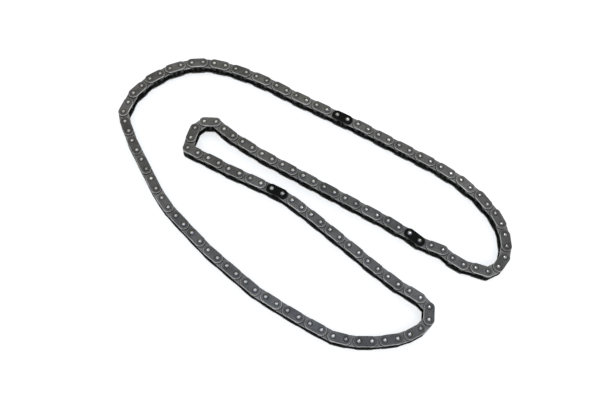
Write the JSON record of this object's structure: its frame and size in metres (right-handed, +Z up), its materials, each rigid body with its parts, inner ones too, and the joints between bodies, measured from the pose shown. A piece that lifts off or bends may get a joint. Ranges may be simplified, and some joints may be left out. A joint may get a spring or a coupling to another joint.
{
  "type": "timing chain",
  "caption": "Endless simplex timing chain lying in a folded loop: obround link plates on riveted pins and bushes, with black timing-mark plates.",
  "frame": {"origin": "centre of the loop's outline, on the surface that the pin heads stand on", "axes": "+Z up along the pins, +X along the loop's longest extent towards the right bend, +Y towards the top strand"},
  "size_m": [0.2706, 0.1958, 0.0098],
  "materials": {
    "outer_plate": "dark satin, tumbled",
    "inner_plate": "dark satin, tumbled",
    "pin": "satin, polished head",
    "bush": "ground, lightly oiled",
    "timing_mark": "black oxide, semi-gloss"
  },
  "bodies": {
    "left_bend": {"left_bend_outer_plates": "outer_plate", "left_bend_inner_plates": "inner_plate", "left_bend_pins": "pin", "left_bend_bushes": "bush", "timing_mark_1": "timing_mark"},
    "right_bend": {"right_bend_outer_plates": "outer_plate", "right_bend_inner_plates": "inner_plate", "right_bend_pins": "pin", "right_bend_bushes": "bush", "timing_mark_2": "timing_mark"},
    "inner_bend": {"inner_bend_outer_plates": "outer_plate", "inner_bend_inner_plates": "inner_plate", "inner_bend_pins": "pin", "inner_bend_bushes": "bush", "timing_mark_3": "timing_mark"},
    "lower_bend": {"lower_bend_outer_plates": "outer_plate", "lower_bend_inner_plates": "inner_plate", "lower_bend_pins": "pin", "lower_bend_bushes": "bush"},
    "top_link_1": {"top_link_1_plates": "outer_plate", "top_link_1_pins": "pin"},
    "top_link_2": {"top_link_2_plates": "inner_plate", "top_link_2_bushes": "bush"},
    "top_link_3": {"top_link_3_plates": "outer_plate", "top_link_3_pins": "pin"},
    "top_link_4": {"top_link_4_plates": "inner_plate", "top_link_4_bushes": "bush"},
    "top_link_5": {"top_link_5_plates": "outer_plate", "top_link_5_pins": "pin"},
    "middle_link_1": {"middle_link_1_plates": "outer_plate", "middle_link_1_pins": "pin"},
    "middle_link_2": {"middle_link_2_plates": "inner_plate", "middle_link_2_bushes": "bush"},
    "middle_link_3": {"middle_link_3_plates": "outer_plate", "middle_link_3_pins": "pin"},
    "middle_link_4": {"middle_link_4_plates": "inner_plate", "middle_link_4_bushes": "bush"},
    "middle_link_5": {"middle_link_5_plates": "outer_plate", "middle_link_5_pins": "pin"},
    "cross_link_1": {"cross_link_1_plates": "outer_plate", "cross_link_1_pins": "pin"},
    "cross_link_2": {"cross_link_2_plates": "inner_plate", "cross_link_2_bushes": "bush"},
    "cross_link_3": {"cross_link_3_plates": "outer_plate", "cross_link_3_pins": "pin"},
    "cross_link_4": {"cross_link_4_plates": "inner_plate", "cross_link_4_bushes": "bush"},
    "cross_link_5": {"cross_link_5_plates": "outer_plate", "cross_link_5_pins": "pin"},
    "bottom_link_1": {"bottom_link_1_plates": "outer_plate", "bottom_link_1_pins": "pin"},
    "bottom_link_2": {"bottom_link_2_plates": "inner_plate", "bottom_link_2_bushes": "bush"},
    "bottom_link_3": {"bottom_link_3_plates": "outer_plate", "bottom_link_3_pins": "pin"},
    "bottom_link_4": {"bottom_link_4_plates": "inner_plate", "bottom_link_4_bushes": "bush"},
    "bottom_link_5": {"bottom_link_5_plates": "outer_plate", "bottom_link_5_pins": "pin"}
  },
  "joints": [
    {"name": "top_pivot_1", "type": "hinge", "parent": "left_bend", "child": "top_link_1", "pos_m": [0.02931, 0.05766, 0.0049], "axis": [0, 0, 1], "range_deg": [-20, 20]},
    {"name": "top_pivot_2", "type": "hinge", "parent": "top_link_1", "child": "top_link_2", "pos_m": [0.03662, 0.0544, 0.0049], "axis": [0, 0, 1], "range_deg": [-20, 20]},
    {"name": "top_pivot_3", "type": "hinge", "parent": "top_link_2", "child": "top_link_3", "pos_m": [0.04393, 0.05115, 0.0049], "axis": [0, 0, 1], "range_deg": [-20, 20]},
    {"name": "top_pivot_4", "type": "hinge", "parent": "top_link_3", "child": "top_link_4", "pos_m": [0.05124, 0.04789, 0.0049], "axis": [0, 0, 1], "range_deg": [-20, 20]},
    {"name": "top_pivot_5", "type": "hinge", "parent": "top_link_4", "child": "top_link_5", "pos_m": [0.05855, 0.04464, 0.0049], "axis": [0, 0, 1], "range_deg": [-20, 20]},
    {"name": "top_pivot_6", "type": "hinge", "parent": "top_link_5", "child": "right_bend", "pos_m": [0.06586, 0.04139, 0.0049], "axis": [0, 0, 1], "range_deg": [-20, 20]},
    {"name": "middle_pivot_1", "type": "hinge", "parent": "right_bend", "child": "middle_link_1", "pos_m": [0.00281, 0.01009, 0.0049], "axis": [0, 0, 1], "range_deg": [-20, 20]},
    {"name": "middle_pivot_2", "type": "hinge", "parent": "middle_link_1", "child": "middle_link_2", "pos_m": [-0.00449, 0.01334, 0.0049], "axis": [0, 0, 1], "range_deg": [-20, 20]},
    {"name": "middle_pivot_3", "type": "hinge", "parent": "middle_link_2", "child": "middle_link_3", "pos_m": [-0.0118, 0.0166, 0.0049], "axis": [0, 0, 1], "range_deg": [-20, 20]},
    {"name": "middle_pivot_4", "type": "hinge", "parent": "middle_link_3", "child": "middle_link_4", "pos_m": [-0.01911, 0.01985, 0.0049], "axis": [0, 0, 1], "range_deg": [-20, 20]},
    {"name": "middle_pivot_5", "type": "hinge", "parent": "middle_link_4", "child": "middle_link_5", "pos_m": [-0.02642, 0.0231, 0.0049], "axis": [0, 0, 1], "range_deg": [-20, 20]},
    {"name": "middle_pivot_6", "type": "hinge", "parent": "middle_link_5", "child": "inner_bend", "pos_m": [-0.03373, 0.02636, 0.0049], "axis": [0, 0, 1], "range_deg": [-20, 20]},
    {"name": "bottom_pivot_6", "type": "hinge", "parent": "left_bend", "child": "bottom_link_5", "pos_m": [-0.05905, -0.04655, 0.0049], "axis": [0, 0, 1], "range_deg": [-20, 20]},
    {"name": "bottom_pivot_5", "type": "hinge", "parent": "bottom_link_5", "child": "bottom_link_4", "pos_m": [-0.0525, -0.05114, 0.0049], "axis": [0, 0, 1], "range_deg": [-20, 20]},
    {"name": "bottom_pivot_4", "type": "hinge", "parent": "bottom_link_4", "child": "bottom_link_3", "pos_m": [-0.04594, -0.05573, 0.0049], "axis": [0, 0, 1], "range_deg": [-20, 20]},
    {"name": "bottom_pivot_3", "type": "hinge", "parent": "bottom_link_3", "child": "bottom_link_2", "pos_m": [-0.03939, -0.06032, 0.0049], "axis": [0, 0, 1], "range_deg": [-20, 20]},
    {"name": "bottom_pivot_2", "type": "hinge", "parent": "bottom_link_2", "child": "bottom_link_1", "pos_m": [-0.03284, -0.06491, 0.0049], "axis": [0, 0, 1], "range_deg": [-20, 20]},
    {"name": "bottom_pivot_1", "type": "hinge", "parent": "bottom_link_1", "child": "lower_bend", "pos_m": [-0.02628, -0.0695, 0.0049], "axis": [0, 0, 1], "range_deg": [-20, 20]},
    {"name": "cross_pivot_6", "type": "hinge", "parent": "lower_bend", "child": "cross_link_5", "pos_m": [0.03636, -0.03714, 0.0049], "axis": [0, 0, 1], "range_deg": [-20, 20]},
    {"name": "cross_pivot_5", "type": "hinge", "parent": "cross_link_5", "child": "cross_link_4", "pos_m": [0.0298, -0.03255, 0.0049], "axis": [0, 0, 1], "range_deg": [-20, 20]},
    {"name": "cross_pivot_4", "type": "hinge", "parent": "cross_link_4", "child": "cross_link_3", "pos_m": [0.02325, -0.02796, 0.0049], "axis": [0, 0, 1], "range_deg": [-20, 20]},
    {"name": "cross_pivot_3", "type": "hinge", "parent": "cross_link_3", "child": "cross_link_2", "pos_m": [0.0167, -0.02337, 0.0049], "axis": [0, 0, 1], "range_deg": [-20, 20]},
    {"name": "cross_pivot_2", "type": "hinge", "parent": "cross_link_2", "child": "cross_link_1", "pos_m": [0.01015, -0.01878, 0.0049], "axis": [0, 0, 1], "range_deg": [-20, 20]}
  ],
  "couplings": [
    {"joint": "top_pivot_2", "follows": "top_pivot_1", "ratio": -1},
    {"joint": "middle_pivot_1", "follows": "top_pivot_1", "ratio": 1},
    {"joint": "middle_pivot_2", "follows": "top_pivot_1", "ratio": -1},
    {"joint": "top_pivot_4", "follows": "top_pivot_3", "ratio": -1},
    {"joint": "middle_pivot_3", "follows": "top_pivot_3", "ratio": 1},
    {"joint": "middle_pivot_4", "follows": "top_pivot_3", "ratio": -1},
    {"joint": "top_pivot_6", "follows": "top_pivot_5", "ratio": -1},
    {"joint": "middle_pivot_5", "follows": "top_pivot_5", "ratio": 1},
    {"joint": "middle_pivot_6", "follows": "top_pivot_5", "ratio": -1},
    {"joint": "bottom_pivot_5", "follows": "bottom_pivot_6", "ratio": -1},
    {"joint": "cross_pivot_6", "follows": "bottom_pivot_6", "ratio": 1},
    {"joint": "cross_pivot_5", "follows": "bottom_pivot_6", "ratio": -1},
    {"joint": "bottom_pivot_3", "follows": "bottom_pivot_4", "ratio": -1},
    {"joint": "cross_pivot_4", "follows": "bottom_pivot_4", "ratio": 1},
    {"joint": "cross_pivot_3", "follows": "bottom_pivot_4", "ratio": -1},
    {"joint": "bottom_pivot_1", "follows": "bottom_pivot_2", "ratio": -1},
    {"joint": "cross_pivot_2", "follows": "bottom_pivot_2", "ratio": 1}
  ]
}
